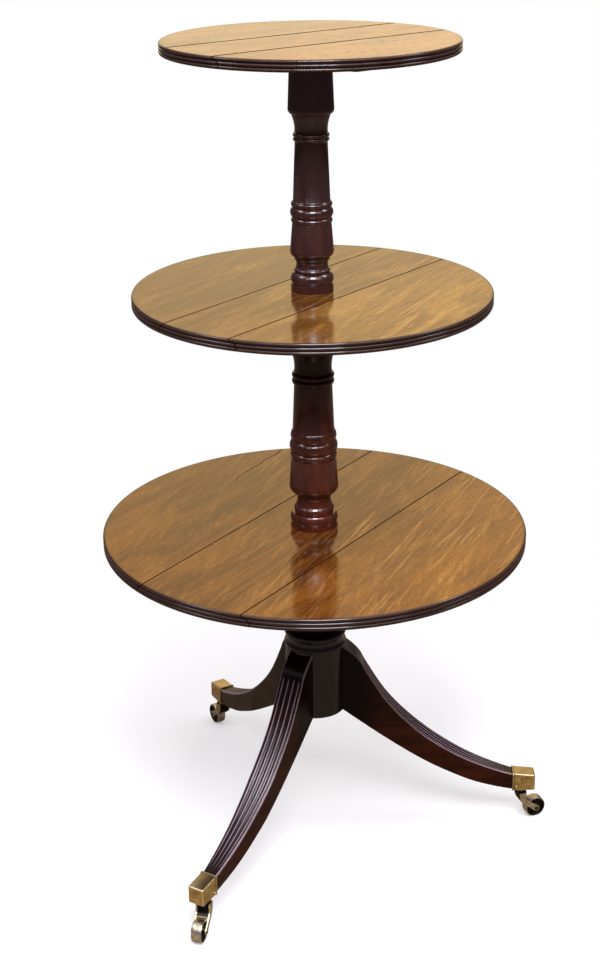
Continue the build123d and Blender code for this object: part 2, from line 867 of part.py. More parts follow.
with BuildPart() as strap:
    with BuildSketch(Plane.XY.offset(pillar_base_height)):
        Circle(strap_disc_radius)
    extrude(amount=-strap_thickness)
    for name in leg_angles:
        with BuildSketch(leg_side_plane(name)):
            Polygon(
                (0, pillar_base_height),
                (leg_root, pillar_base_height),
                (leg_root + strap_arm_run, pillar_base_height - strap_drop),
                (leg_root + strap_arm_run, pillar_base_height - strap_drop - strap_skew),
                (leg_root, pillar_base_height - strap_skew),
                (0, pillar_base_height - strap_thickness),
                align=None,
            )
        extrude(amount=strap_width / 2, both=True)
save(strap.part, "leg_strap")

for tier in tiers:
    name = tier["name"]
    save(centre_board(tier), f"{name}_centre_board")
    save(bearer(tier), f"{name}_bearer")
    save(bracket_pins(tier), f"{name}_bracket_screws")
    save(hinge_pins(tier), f"{name}_hinge_pins")
    left_flaps, right_flaps = [hinge_flaps(tier, side, fixed=True) for side_name, side in sides]
    with BuildPart() as fixed_flaps:
        add(left_flaps)
        add(right_flaps)
    save(fixed_flaps.part, f"{name}_fixed_hinge_flaps")
    for side_name, side in sides:
        save(leaf(tier, side), f"{name}_{side_name}_leaf")
        save(hinge_flaps(tier, side, fixed=False), f"{name}_{side_name}_hinge_flaps")
        save(bracket(tier, side), f"{name}_{side_name}_bracket")
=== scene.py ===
from math import acos, asin, atan2, cos, degrees, hypot, pi, radians, sin, sqrt

import bmesh
import bpy
from mathutils import Matrix, Vector


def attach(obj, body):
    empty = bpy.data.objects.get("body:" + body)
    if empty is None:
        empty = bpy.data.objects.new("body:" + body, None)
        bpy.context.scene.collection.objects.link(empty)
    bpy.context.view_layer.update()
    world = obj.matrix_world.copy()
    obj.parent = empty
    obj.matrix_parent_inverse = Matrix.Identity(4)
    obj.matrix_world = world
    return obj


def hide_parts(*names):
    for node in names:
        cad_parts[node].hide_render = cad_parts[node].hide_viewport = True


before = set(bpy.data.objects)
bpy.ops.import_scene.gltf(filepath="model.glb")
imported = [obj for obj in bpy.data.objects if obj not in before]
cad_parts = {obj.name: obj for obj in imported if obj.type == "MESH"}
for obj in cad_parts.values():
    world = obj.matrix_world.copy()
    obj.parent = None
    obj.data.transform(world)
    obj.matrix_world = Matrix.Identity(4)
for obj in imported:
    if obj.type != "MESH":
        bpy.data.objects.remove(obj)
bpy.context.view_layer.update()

# Studio. A pale floor that keeps the table's soft shadow, and a warm wall behind the table
# that the polished tops mirror. Soft boxes in front put the glints on every turned bead, and
# two side lights draw the edges. The camera stands where the photographer did.
scene = bpy.context.scene
scene.view_settings.view_transform = "Standard"


def colour(code):
    """Linear RGBA of an sRGB hex code."""
    parts = [int(code[i:i + 2], 16) / 255 for i in (1, 3, 5)]
    return tuple(c / 12.92 if c <= 0.04045 else ((c + 0.055) / 1.055) ** 2.4 for c in parts) + (1,)


def add(tree, kind, *values, stops=(), give=None, **settings):
    """Adds a node with its settings and links, and gives an output of it.

    Values go into the live inputs in order. A setting with a capital goes into the input of
    that name, and one without sets the node itself. Stops are the (place, colour) pairs of a
    ramp. The output is the one named by give, or else the first live one.
    """
    made = tree.nodes.new("ShaderNode" + kind)
    for name, value in settings.items():
        if name[0].islower():
            setattr(made, name, value)
    pairs = list(zip([socket for socket in made.inputs if socket.enabled], values))
    pairs += [(made.inputs[name.replace("_", " ")], value)
              for name, value in settings.items() if name[0].isupper()]
    for socket, value in pairs:
        if isinstance(value, bpy.types.NodeSocket):
            tree.links.new(value, socket)
        else:
            socket.default_value = value
    for number, (place, shade) in enumerate(stops):
        points = made.color_ramp.elements
        point = points[number] if number < 2 else points.new(place)
        point.position, point.color = place, shade
    if give:
        return made.outputs[give]
    return next((socket for socket in made.outputs if socket.enabled), made)


def bare_paint(name):
    """A new material and its empty node tree."""
    paint = bpy.data.materials.new(name)
    paint.use_nodes = True
    paint.node_tree.nodes.clear()
    return paint, paint.node_tree


yaw, pitch, roll = -0.0098, 0.3908, -0.0117
stand = Vector((0.0012, -2.1602, 1.4640))
ahead = Vector((sin(yaw) * cos(pitch), cos(yaw) * cos(pitch), -sin(pitch)))
level = Vector((cos(yaw), -sin(yaw), 0))
over = level.cross(ahead)
right = level * cos(roll) + over * sin(roll)
up = over * cos(roll) - level * sin(roll)
camera = bpy.data.objects.new("camera", bpy.data.cameras.new("camera"))
camera.data.sensor_fit = "HORIZONTAL"
camera.data.sensor_width = 36
camera.data.lens = 97.66
camera.matrix_world = Matrix.Translation(stand) @ Matrix(
    (right, up, -ahead)).transposed().to_4x4()
scene.collection.objects.link(camera)
scene.camera = camera

# The world is a dim room with a pale ceiling, a dark floor and one warm wall. The white
# round the table in the photograph was cut in, so rays that the brass and the polish mirror
# keep the room, and only the camera and rays through glass see the white.
world = bpy.data.worlds.new("studio")
scene.world = world
world.use_nodes = True
sky = world.node_tree
sky.nodes.clear()
eased = {"interpolation_type": "SMOOTHSTEP"}
across, depth, height = add(sky, "SeparateXYZ", add(sky, "TexCoord", give="Generated")).node.outputs
behind = add(sky, "MapRange", depth, 0.60, 0.80, **eased)
below_ceiling = add(sky, "MapRange", height, 0.50, 0.78, 1, 0, **eased)
off_middle = add(sky, "Math", across, operation="ABSOLUTE")
between_curtains = add(sky, "MapRange", off_middle, 0.30, 0.50, 1, 0, **eased)
on_wall = add(sky, "Math", behind, below_ceiling, operation="MULTIPLY")
on_wall = add(sky, "Math", on_wall, between_curtains, operation="MULTIPLY")
dim_room, pale_ceiling, dark_carpet = (
    (0.13, 0.125, 0.145, 1), (1.10, 1.00, 1.16, 1), (0.04, 0.035, 0.03, 1))
ceiling_share = add(sky, "MapRange", height, 0.40, 0.80, **eased)
room = add(sky, "Mix", ceiling_share, dim_room, pale_ceiling, data_type="RGBA")
# The three tops mirror three heights of the wall, so each band sets the tone of one top.
wall_paint = add(sky, "ValToRGB", height, stops=[
    (0.14, (1.22, 0.96, 0.60, 1)), (0.24, (1.36, 0.99, 0.51, 1)), (0.30, (1.24, 0.94, 0.47, 1)),
    (0.36, (1.60, 1.08, 0.49, 1)), (0.45, (1.38, 0.94, 0.42, 1))])
room = add(sky, "Mix", on_wall, room, wall_paint, data_type="RGBA")
above_floor = add(sky, "MapRange", height, -0.10, 0.04, **eased)
room = add(sky, "Mix", above_floor, dark_carpet, room, data_type="RGBA")
white = (1, 1, 1, 1)
rays = add(sky, "LightPath").node.outputs
sees_white = add(sky, "Math", rays["Is Camera Ray"], rays["Is Transmission Ray"],
                 operation="MAXIMUM")
seen = add(sky, "MixShader", sees_white, add(sky, "Background", room),
           add(sky, "Background", white))
add(sky, "OutputWorld", seen)

# Name, degrees round from the front, degrees up, width, height, watts and tint of each lamp.
soft_boxes = (
    ("wide_box", 8, 42, 3.60, 0.60, 26, (0.94, 0.90, 1.0)),
    ("key_box", 6, 49, 0.95, 1.10, 62, (0.97, 0.94, 1.0)),
    ("side_left", -74, 44, 0.80, 0.80, 13, (0.97, 0.94, 1.0)),
    ("side_right", 92, 44, 0.60, 0.80, 11, (0.97, 0.94, 1.0)),
    ("overhead", 0, 80, 3.4, 2.6, 12, (0.97, 0.93, 1.0)),
)
lamp_distance, aimed_at = 2.6, Vector((0, 0, 0.7))
for name, azimuth, elevation, wide, tall, power, tint in soft_boxes:
    lamp = bpy.data.lights.new(name, "AREA")
    lamp.shape = "RECTANGLE"
    lamp.size, lamp.size_y = wide, tall
    lamp.energy = power
    lamp.color = tint
    round_by, raised_by = radians(azimuth), radians(elevation)
    away = Vector((sin(round_by) * cos(raised_by), -cos(round_by) * cos(raised_by),
                   sin(raised_by)))
    box = bpy.data.objects.new(name, lamp)
    box.location = aimed_at + away * lamp_distance
    box.rotation_euler = away.to_track_quat("Z", "Y").to_euler()
    scene.collection.objects.link(box)

# White painted floor to the camera, lit for real under the table so that its shadow stays.
# To all else it is the brown carpet that lights the legs from below.
floor_paint, tree = bare_paint("pale studio floor")
out_from_table = add(tree, "VectorMath", add(tree, "TexCoord", give="Object"), operation="LENGTH")
shadow_share = add(tree, "MapRange", out_from_table, 0.45, 0.85, 0.65, 0, **eased)
white_floor = add(tree, "MixShader", shadow_share, add(tree, "Emission", white),
                  add(tree, "BsdfDiffuse", colour("#fafffb")))
rays = add(tree, "LightPath").node.outputs
sees_white = add(tree, "Math", rays["Is Camera Ray"], rays["Is Transmission Ray"],
                 operation="MAXIMUM")
carpet = add(tree, "BsdfDiffuse", colour("#827566"))
add(tree, "OutputMaterial", add(tree, "MixShader", sees_white, carpet, white_floor))
bm = bmesh.new()
bmesh.ops.create_grid(bm, x_segments=1, y_segments=1, size=6)
floor_mesh = bpy.data.meshes.new("studio_floor")
bm.to_mesh(floor_mesh)
bm.free()
floor_mesh.materials.append(floor_paint)
studio_floor = bpy.data.objects.new("studio_floor", floor_mesh)
scene.collection.objects.link(studio_floor)

# Boards. Each tier is one round board of mahogany, sawn into a fixed centre board and two
# leaves along the rule joints, with three reeds worked round its rim. The centre board's
# edge is a quarter round that the leaf's hollow turns over, with the hinges let in below.
MM = 0.001
knuckle, cover, pin_height = 3.0, 0.1, 3.1
hinge_wide, hinge_plate, hinge_gap = 30.0, 1.5, 0.3
fixed_reach, leaf_reach, hinge_share = 20.0, 34.0, 0.66
quirk, rule_gap, reed_sunk = 2.5, 0.4, 1.9
# Sizes in millimetres, the turn of the joints in degrees, and how much more worn a top is
# than the lowest one. Shades run from the darkest grain to the warmest.
# Rims run from dark to light stain, and end with the pale painted highlight on the reeds' crests.
tiers = {
    "top": dict(radius=196.5, top=1190.0, thick=15.0, joint=51.0, turn=37.5, worn=3.0,
                shades=("#4c2c14", "#65411c", "#875d32", "#93622c"),
                rims=("#140907", "#22110c", "#4a362f")),
    "middle": dict(radius=247.5, top=856.0, thick=16.0, joint=55.0, turn=52.0, worn=1.2,
                   shades=("#3e240e", "#512f10", "#6c461c", "#825a20"),
                   rims=("#150907", "#23100b", "#4b342b")),
    "bottom": dict(radius=305.0, top=505.0, thick=17.0, joint=82.0, turn=56.0, worn=1.0,
                   shades=("#40220b", "#532c0c", "#6e411a", "#7d4b14"),
                   rims=("#130704", "#220e08", "#482e24")),
}
# Boards whose figure is warmer or cooler than that of the centre boards.
warm_boards = {"top_right": 0.2, "middle_right": 0.3, "bottom_right": 0.25,
               "middle_left": -0.3, "bottom_left": -0.1}


def darker(shade, share):
    """A colour brought down to a share of its light."""
    return tuple(part * share for part in shade[:3]) + (1,)


def marks(tree, place, apart, detail=3, roughness=0.55, distortion=0, turn=0):
    """Soft marks that lie the given millimetres apart along x, y and z."""
    moved = add(tree, "Mapping", place, Rotation=(0, 0, turn),
                Scale=[gap * MM for gap in apart], vector_type="TEXTURE")
    return add(tree, "TexNoise", moved, Scale=1, Detail=detail, Roughness=roughness,
               Distortion=distortion)


def top_timber(name, tier, seed, warm, split=False):
    """Polished mahogany board: faded face with painted gleams and shade, dark reeded rim with a
    painted highlight, dark joints, plain underside.
    """
    # Mahogany planed flat, faded by light and built up with shellac. To the eye: a gold brown
    # figure that runs with the grain, deep under a mirror that is broken by open pores.
    paint, tree = bare_paint(name)
    worn = tier["worn"]
    top, under = tier["top"] * MM, (tier["top"] - tier["thick"]) * MM
    joint, radius = tier["joint"] * MM, tier["radius"] * MM
    place = add(tree, "TexCoord", give="Object")
    along = add(tree, "Mapping", place, Rotation=(0, 0, -radians(tier["turn"])))
    apart = add(tree, "Mapping", along, Location=(seed * 0.73, seed * 0.41, seed * 0.19))
    grain_x, grain_y, high = add(tree, "SeparateXYZ", along).node.outputs
    dark, mid, light, glow = [colour(code) for code in tier["shades"]]
    bright, dark_line_brown = colour("#ad7d3e"), colour("#241107")

    # Ribbons of figure about 26 mm wide, with warmer clouds a hand's breadth across.
    ribbon = marks(tree, apart, (300, 26, 50), 3, 0.6, 0.9)
    cloud = marks(tree, apart, (170, 75, 100), 2, 0.5, 0.8)
    face = add(tree, "ValToRGB", ribbon, stops=[
        (0.30, dark), (0.47, mid), (0.60, light), (0.78, mid)])
    warmth = add(tree, "MapRange", cloud, 0.46, 0.66, warm, warm + 0.7, **eased)
    face = add(tree, "Mix", warmth, face, glow, data_type="RGBA")

    # Flame curls 7 mm wide that lean off the grain, and painted highlights: long gleams, 9.5 mm
    # wide, that show most on the side which the light rakes.
    flame = marks(tree, apart, (60, 7, 50), 3, 0.6, 0.6, radians(24))
    flame = add(tree, "MapRange", flame, 0.50, 0.66, 0, 0.20, **eased)
    on_cloud = add(tree, "MapRange", cloud, 0.40, 0.52, **eased)
    curl = add(tree, "Math", flame, on_cloud, operation="MULTIPLY")
    face = add(tree, "Mix", curl, face, bright, data_type="RGBA")
    lit_side = add(tree, "VectorMath", place, (0.75 / radius, 0.20 / radius, 0),
                   operation="DOT_PRODUCT")
    gleam = marks(tree, apart, (180, 9.5, 30), 4, 0.70, 0.9, radians(11))
    gleam = add(tree, "MapRange", gleam, 0.50, 0.72, 0, 0.80, **eased)
    raked = add(tree, "MapRange", lit_side, -1.0, 0.4, **eased)
    gleam = add(tree, "Math", gleam, raked, operation="MULTIPLY")
    face = add(tree, "Mix", gleam, face, bright, data_type="RGBA")

    # Pores of mahogany are 0.1 to 0.3 mm wide, which is too fine to show. They are drawn as
    # speckle 2.8 mm, streaks 3.6 mm and flecks 2 mm across.
    speckle = marks(tree, apart, (6, 2.8, 3), 3, 0.7)
    speckle = add(tree, "MapRange", speckle, 0.42, 0.66, 0, 0.32, **eased)
    face = add(tree, "Mix", speckle, face, dark, data_type="RGBA")
    streak = marks(tree, apart, (100, 3.6, 20), 4, 0.65, 0.3)
    streak = add(tree, "MapRange", streak, 0.50, 0.72, **eased)
    streak_share = add(tree, "Math", streak, 0.36, operation="MULTIPLY")
    face = add(tree, "Mix", streak_share, face, dark, data_type="RGBA")
    flecks = marks(tree, apart, (15, 2.0, 4), 2, 0.6, 0.4)
    flecks = add(tree, "MapRange", flecks, 0.60, 0.68, **eased)
    fleck_share = add(tree, "Math", flecks, 0.65, operation="MULTIPLY")
    face = add(tree, "Mix", fleck_share, face, darker(dark, 0.4), data_type="RGBA")
    # Painted shade: the face is darker on the side away from the light.
    shaded = add(tree, "MapRange", lit_side, -1.0, 0.6, 1, 0, **eased)
    face = add(tree, "Mix", shaded, face, colour("#e5e3e7"), data_type="RGBA",
               blend_type="MULTIPLY")

    # Distance to the rule joint: to the quarter round below, to the quirk's face above.
    off = add(tree, "Math", grain_y, operation="ABSOLUTE")
    beside = add(tree, "Math", off, joint, operation="SUBTRACT")
    above_pin = add(tree, "Math", high, under + pin_height * MM, operation="SUBTRACT")
    ovolo = (tier["thick"] - quirk - pin_height) * MM
    from_pin = add(tree, "VectorMath", add(tree, "CombineXYZ", beside, above_pin),
                   operation="LENGTH")
    to_round = add(tree, "Math", from_pin, ovolo, operation="SUBTRACT")
    to_round = add(tree, "Math", to_round, operation="ABSOLUTE")
    in_board = add(tree, "Math", beside, -0.6 * MM, operation="LESS_THAN")
    to_round = add(tree, "Math", in_board, 100 * MM, to_round, operation="MULTIPLY_ADD")
    to_face = add(tree, "Math", beside, operation="ABSOLUTE")
    quirked = add(tree, "Math", above_pin, ovolo - 0.4 * MM, operation="GREATER_THAN")
    to_joint = add(tree, "Mix", quirked, to_round, to_face)

    # The rim was stained dark with the base. Along the crests of its reeds it is rubbed pale and
    # carries a painted highlight.
    rim_dark, rim_light, rim_crest_highlight = [colour(code) for code in tier["rims"]]
    rim = add(tree, "Mix", marks(tree, apart, (50, 50, 3), 2), rim_dark, rim_light,
              data_type="RGBA")
    wear = marks(tree, apart, (30, 30, 10), 3)
    reeds_up = add(tree, "MapRange", high, under, top, 0, 3, clamp=False)
    within_reed = add(tree, "Math", reeds_up, operation="FRACT")
    from_crest = add(tree, "Math", within_reed, 0.64, operation="SUBTRACT")
    from_crest = add(tree, "Math", from_crest, operation="ABSOLUTE")
    crest_highlight = add(tree, "MapRange", from_crest, 0.06, 0.22, 1.1, 0, **eased)
    crest_highlight = add(tree, "Math", crest_highlight, wear, operation="MULTIPLY")
    rim = add(tree, "Mix", crest_highlight, rim, rim_crest_highlight, data_type="RGBA")
    frayed = add(tree, "Math", wear, 1.0 * MM, high, operation="MULTIPLY_ADD")
    from_axis = add(tree, "VectorMath", add(tree, "CombineXYZ", grain_x, grain_y),
                    operation="LENGTH")
    on_top = add(tree, "MapRange", frayed, top - 1.2 * MM, top + 0.1 * MM, **eased)
    inside_rim = add(tree, "MapRange", from_axis, radius - 5.0 * MM, radius - 2.2 * MM,
                     1, 0.25, **eased)
    on_face = add(tree, "Math", on_top, inside_rim, operation="MULTIPLY")
    whole = add(tree, "Mix", on_face, rim, face, data_type="RGBA")

    # Wax and dust have blackened the joints. On a top that is more worn the dark band is wider, as
    # painted shade of the step at the joint.
    narrowed = add(tree, "Mix", on_face, 1.0, 1 / worn)
    to_joint = add(tree, "Math", to_joint, narrowed, operation="MULTIPLY")
    dirt_and_shade = add(tree, "MapRange", to_joint, 0.7 * MM, 1.6 * MM, 0.93, 0, **eased)
    if split:
        # One leaf has opened along the grain, in a crack that wanders a few millimetres.
        wander = marks(tree, along, (50, 1000, 1000), 2)
        wander = add(tree, "MapRange", wander, 0, 1, 179.7 * MM, 193.7 * MM, clamp=False)
        course = add(tree, "Math", grain_x, 0.10, wander, operation="MULTIPLY_ADD")
        miss = add(tree, "Math", grain_y, course, operation="SUBTRACT")
        miss = add(tree, "Math", miss, operation="ABSOLUTE")
        opened = add(tree, "MapRange", miss, 0.5 * MM, 2.0 * MM, 0.9, -0.1, **eased)
        past_middle = add(tree, "MapRange", grain_x, 0, 120 * MM, **eased)
        opened = add(tree, "Math", opened, past_middle, operation="MULTIPLY")
        opened = add(tree, "Math", opened, on_face, operation="MULTIPLY")
        dirt_and_shade = add(tree, "Math", dirt_and_shade, opened, operation="MAXIMUM")
    whole = add(tree, "Mix", dirt_and_shade, whole, dark_line_brown, data_type="RGBA")

    # The underside was never polished: it is brown bare wood, dull beside the rest.
    below = marks(tree, apart, (120, 6, 30), 3)
    bare_wood = add(tree, "ValToRGB", below, stops=[
        (0.3, colour("#2a1810")), (0.7, colour("#4a2d1d"))])
    low_down = add(tree, "Math", high, under + 1.9 * MM, operation="LESS_THAN")
    within = add(tree, "Math", from_axis, radius - 2.5 * MM, operation="LESS_THAN")
    hidden = add(tree, "Math", low_down, within, operation="MULTIPLY")
    whole = add(tree, "Mix", hidden, whole, bare_wood, data_type="RGBA")

    # Shine drops in open pores and in the dark joints and the crack, and the polish is a little
    # hazy in patches.
    open_grain = add(tree, "VectorMath", add(tree, "CombineXYZ", flecks, streak, ribbon),
                     (0.12 * worn, 0.08 * worn, 0.08 * worn), operation="DOT_PRODUCT")
    filled = add(tree, "Math", 0.52, open_grain, operation="SUBTRACT")
    clean = add(tree, "Math", 1.0, dirt_and_shade, operation="SUBTRACT")
    shine = add(tree, "Math", filled, clean, operation="MULTIPLY")
    haze = marks(tree, place, (100, 80, 80), 4, 0.6)
    rough = add(tree, "MapRange", haze, 0.35, 0.70, 0.13, 0.19, **eased)
    rough = add(tree, "Math", on_face, -0.04, rough, operation="MULTIPLY_ADD")
    rough = add(tree, "Math", hidden, 0.4, rough, operation="MULTIPLY_ADD")
    relief = add(tree, "Math", streak, 0.25, marks(tree, place, (50, 50, 50), 2),
                 operation="MULTIPLY_ADD")
    relief = add(tree, "Math", on_face, relief, operation="MULTIPLY")
    uneven = add(tree, "Bump", Height=relief, Strength=0.10, Distance=0.6 * MM)
    shader = add(tree, "BsdfPrincipled", Base_Color=whole, Roughness=rough, IOR=1.5,
                 Specular_IOR_Level=shine, Normal=uneven)
    add(tree, "OutputMaterial", shader)
    return paint


def piece(name, bm, paints, body, nodes=(), sharp=35):
    """Turns a bmesh in millimetres into a finished object that rides on a body."""
    bmesh.ops.recalc_face_normals(bm, faces=bm.faces)
    mesh = bpy.data.meshes.new(name)
    bm.to_mesh(mesh)
    bm.free()
    mesh.transform(Matrix.Scale(MM, 4))
    for paint in paints:
        mesh.materials.append(paint)
    mesh.set_sharp_from_angle(angle=radians(sharp))
    # Level faces stay flat, so that a round edge beside them doesn't shade them.
    mesh.polygons.foreach_set("use_smooth", [
        abs(face.normal.z) < 0.9999 for face in mesh.polygons])
    made = bpy.data.objects.new(name, mesh)
    scene.collection.objects.link(made)
    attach(made, body)
    if nodes:
        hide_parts(*nodes)
    return made


def lathe(bm, profile, segments, place=Matrix()):
    """Turns (radius, height) points about the z axis of a place and seals the poles."""
    known = set(bm.verts)
    line = [bm.verts.new((radius, 0, height)) for radius, height in profile]
    edges = [bm.edges.new(pair) for pair in zip(line, line[1:])]
    bmesh.ops.spin(bm, geom=line + edges, cent=(0, 0, 0), axis=(0, 0, 1), angle=2 * pi,
                   steps=segments, use_merge=True)
    bmesh.ops.remove_doubles(bm, verts=[v for v in bm.verts if v not in known], dist=0.001)
    bmesh.ops.transform(bm, matrix=place, verts=[v for v in bm.verts if v not in known])


def arc(centre, radius, start, end, steps):
    """Points of an arc between two angles in degrees."""
    return [(centre[0] + radius * cos(radians(start + (end - start) * i / steps)),
             centre[1] + radius * sin(radians(start + (end - start) * i / steps)))
            for i in range(steps + 1)]


def prism(bm, outline, place, low, high, paint=0):
    """Extrudes a closed outline along the z axis of a place, and gives its points."""
    face = bm.faces.new([bm.verts.new((x, y, low)) for x, y in outline])
    made = bmesh.ops.extrude_face_region(bm, geom=[face])["geom"]
    lifted = [part for part in made if isinstance(part, bmesh.types.BMVert)]
    bmesh.ops.translate(bm, vec=(0, 0, high - low), verts=lifted)
    points = list(face.verts) + lifted
    bmesh.ops.transform(bm, matrix=place, verts=points)
    faces = list({face for point in points for face in point.link_faces})
    bmesh.ops.recalc_face_normals(bm, faces=faces)
    for face in faces:
        face.material_index = paint
    return points


def carved(bm, cutter, operation):
    """Booleans one bmesh with another and gives the result."""
    pair = []
    for part in (bm, cutter):
        bmesh.ops.recalc_face_normals(part, faces=part.faces)
        mesh = bpy.data.meshes.new("rough")
        part.to_mesh(mesh)
        part.free()
        pair.append(bpy.data.objects.new("rough", mesh))
        scene.collection.objects.link(pair[-1])
    change = pair[0].modifiers.new("cut", "BOOLEAN")
    change.operation = operation
    change.solver = "EXACT"
    change.object = pair[1]
    bpy.context.view_layer.update()
    result = bmesh.new()
    result.from_mesh(pair[0].evaluated_get(bpy.context.evaluated_depsgraph_get()).to_mesh())
    for part in pair:
        bpy.data.objects.remove(part)
    return result


def tier_frame(tier, along=0.0):
    """Local x across the joints, y up from the underside, z along them."""
    turn = radians(tier["turn"])
    down_joint, across_it = Vector((cos(turn), sin(turn), 0)), Vector((-sin(turn), cos(turn), 0))
    place = Matrix((across_it, Vector((0, 0, 1)), down_joint)).transposed().to_4x4()
    place.translation = down_joint * along + Vector((0, 0, tier["top"] - tier["thick"]))
    return place


def hinge_places(tier):
    """How far along a joint its two hinges sit, two thirds of the way out to the rim."""
    half_joint = sqrt(tier["radius"] ** 2 - tier["joint"] ** 2)
    return [-hinge_share * half_joint, hinge_share * half_joint]


def reeded_disc(tier):
    """The whole round board with its reeded rim."""
    under, reed = tier["top"] - tier["thick"], tier["thick"] / 3
    bend = (reed ** 2 / 4 + reed_sunk ** 2) / (2 * reed_sunk)
    half = degrees(asin(reed / 2 / bend))
    profile = [(0, under)]
    for number in range(3):
        middle = under + reed * (number + 0.5)
        reed_line = arc((tier["radius"] - bend, middle), bend, -half, half, 9)
        profile += reed_line if number == 2 else reed_line[:-1]
    profile += [(0, tier["top"])]
    bm = bmesh.new()
    lathe(bm, profile, 300)
    return bm


# Cutters reach a little past what they cut. The upper edges along the joints are rubbed down,
# and more so on a top that is more worn.
spare, rubbed_edge = 3.0, 0.65
recess_half = hinge_wide / 2 + hinge_gap
for name, tier in tiers.items():
    joint, thick, far = tier["joint"], tier["thick"], tier["radius"] + 5
    ovolo, worn_off = thick - quirk - pin_height, rubbed_edge * tier["worn"]
    round_edge = arc((joint, pin_height), ovolo, 90, -degrees(asin(pin_height / ovolo)), 12)
    half_board = [(joint - worn_off - spare, thick + spare), (joint, thick - worn_off)]
    half_board += round_edge + [(round_edge[-1][0], -spare)]
    block = bmesh.new()
    prism(block, half_board + [(-x, y) for x, y in half_board[::-1]], tier_frame(tier), -far, far)
    board = carved(reeded_disc(tier), block, "INTERSECT")
    recess = bmesh.new()
    inner, outer = joint - knuckle - fixed_reach - hinge_gap, joint + ovolo + hinge_gap
    slot, deep = knuckle + hinge_gap, cover + hinge_plate
    recess_steps = ((inner, -spare), (inner, deep), (joint - slot, deep),
                    (joint - slot, pin_height + slot), (joint + slot, pin_height + slot),
                    (joint + slot, deep + hinge_gap), (outer, deep + hinge_gap), (outer, -spare))
    for along in hinge_places(tier):
        for side in (1, -1):
            prism(recess, [(side * x, y) for x, y in recess_steps], tier_frame(tier, along),
                  -recess_half, recess_half)
    board = carved(board, recess, "DIFFERENCE")
    paint = top_timber(f"polished mahogany, {name} centre board", tier, len(name) * 0.37,
                       warm_boards.get(f"{name}_centre", 0.0))
    piece(f"{name}_centre", board, (paint,), f"{name}_tier",
          (f"{name}_centre_board",))

    hollow = ovolo + rule_gap
    hollow_edge = arc((joint, pin_height), hollow, degrees(acos(rule_gap / hollow)),
                      -degrees(asin(pin_height / hollow)), 12)
    leaf_line = [(joint + rule_gap + worn_off + spare, thick + spare),
                 (joint + rule_gap, thick - worn_off)]
    leaf_line += hollow_edge + [(hollow_edge[-1][0], -spare), (far, -spare), (far, thick + spare)]
    reach = joint + knuckle + leaf_reach + hinge_gap
    flap_steps = ((joint - 1, -spare), (joint - 1, deep), (reach, deep), (reach, -spare))
    for side_name, side in (("left", 1), ("right", -1)):
        block, recess = bmesh.new(), bmesh.new()
        prism(block, [(side * x, y) for x, y in leaf_line], tier_frame(tier), -far, far)
        board = carved(reeded_disc(tier), block, "INTERSECT")
        for along in hinge_places(tier):
            prism(recess, [(side * x, y) for x, y in flap_steps], tier_frame(tier, along),
                  -recess_half, recess_half)
        board = carved(board, recess, "DIFFERENCE")
        paint = top_timber(f"polished mahogany, {name} {side_name} leaf", tier,
                           len(name) * 0.37 + side * 1.3,
                           warm_boards.get(f"{name}_{side_name}", 0.0),
                           split=(name, side_name) == ("bottom", "left"))
        piece(f"{name}_{side_name}_flap", board, (paint,), f"{name}_{side_name}_leaf",
              (f"{name}_{side_name}_leaf",))

# Column and pillar. Two turned columns and a turned pillar of mahogany, screwed together
# through the tiers: plinth, torus, beads, tapered shaft, neck and drum. They were stained
# nearly black on the lathe and polished, and the lower column has faded to red.

# Each turning lists (share of the height, share of the radius, bulge of the line to it).
upper_turning = (
    (0.000, 1.000, 0), (0.032, 1.000, 0), (0.034, 0.937, 0), (0.083, 0.868, 0.20),
    (0.084, 0.786, 0), (0.102, 0.786, 0.36), (0.144, 0.831, -0.16), (0.154, 0.838, 0),
    (0.191, 1.012, 0.20), (0.305, 0.913, 0), (0.309, 0.896, 0), (0.334, 0.896, 0.25),
    (0.381, 0.889, 0.22), (0.407, 0.882, 0.27), (0.410, 0.860, 0), (0.670, 0.752, 0),
    (0.673, 0.773, 0), (0.691, 0.773, 0.32), (0.710, 0.773, 0.32), (0.711, 0.759, 0),
    (0.782, 0.875, -0.06), (0.790, 0.885, 0), (0.817, 1.051, 0.20), (1.000, 0.974, 0),
)
lower_turning = (
    (0.000, 1.000, 0), (0.018, 1.000, 0), (0.019, 0.946, 0), (0.067, 0.917, 0.16),
    (0.069, 0.800, 0), (0.101, 0.777, 0.20), (0.146, 0.727, -0.10), (0.157, 0.730, 0),
    (0.211, 1.022, 0.22), (0.331, 0.946, 0), (0.333, 0.911, 0), (0.361, 0.911, 0.23),
    (0.416, 0.899, 0.19), (0.461, 0.882, 0.15), (0.465, 0.863, 0), (0.678, 0.784, 0),
    (0.680, 0.800, 0), (0.707, 0.800, 0.27), (0.734, 0.800, 0.27), (0.735, 0.777, 0),
    (0.830, 0.888, -0.06), (0.840, 0.899, 0), (0.870, 0.999, 0.20), (1.000, 0.969, 0),
)
pillar_turning = (
    (0.000, 0.964, 0), (0.408, 0.969, 0), (0.410, 0.982, 0), (0.429, 0.982, 0.17),
    (0.430, 0.964, 0), (0.474, 0.964, -0.12), (0.475, 0.973, 0), (0.498, 0.973, 0.16),
    (0.500, 0.930, 0), (0.556, 0.670, -0.20), (0.872, 0.638, 0.14), (0.875, 0.659, 0),
    (0.900, 0.659, 0.25), (0.902, 0.618, 0), (0.951, 0.724, -0.12), (0.960, 0.783, 0.20),
    (1.000, 0.789, 0),
)


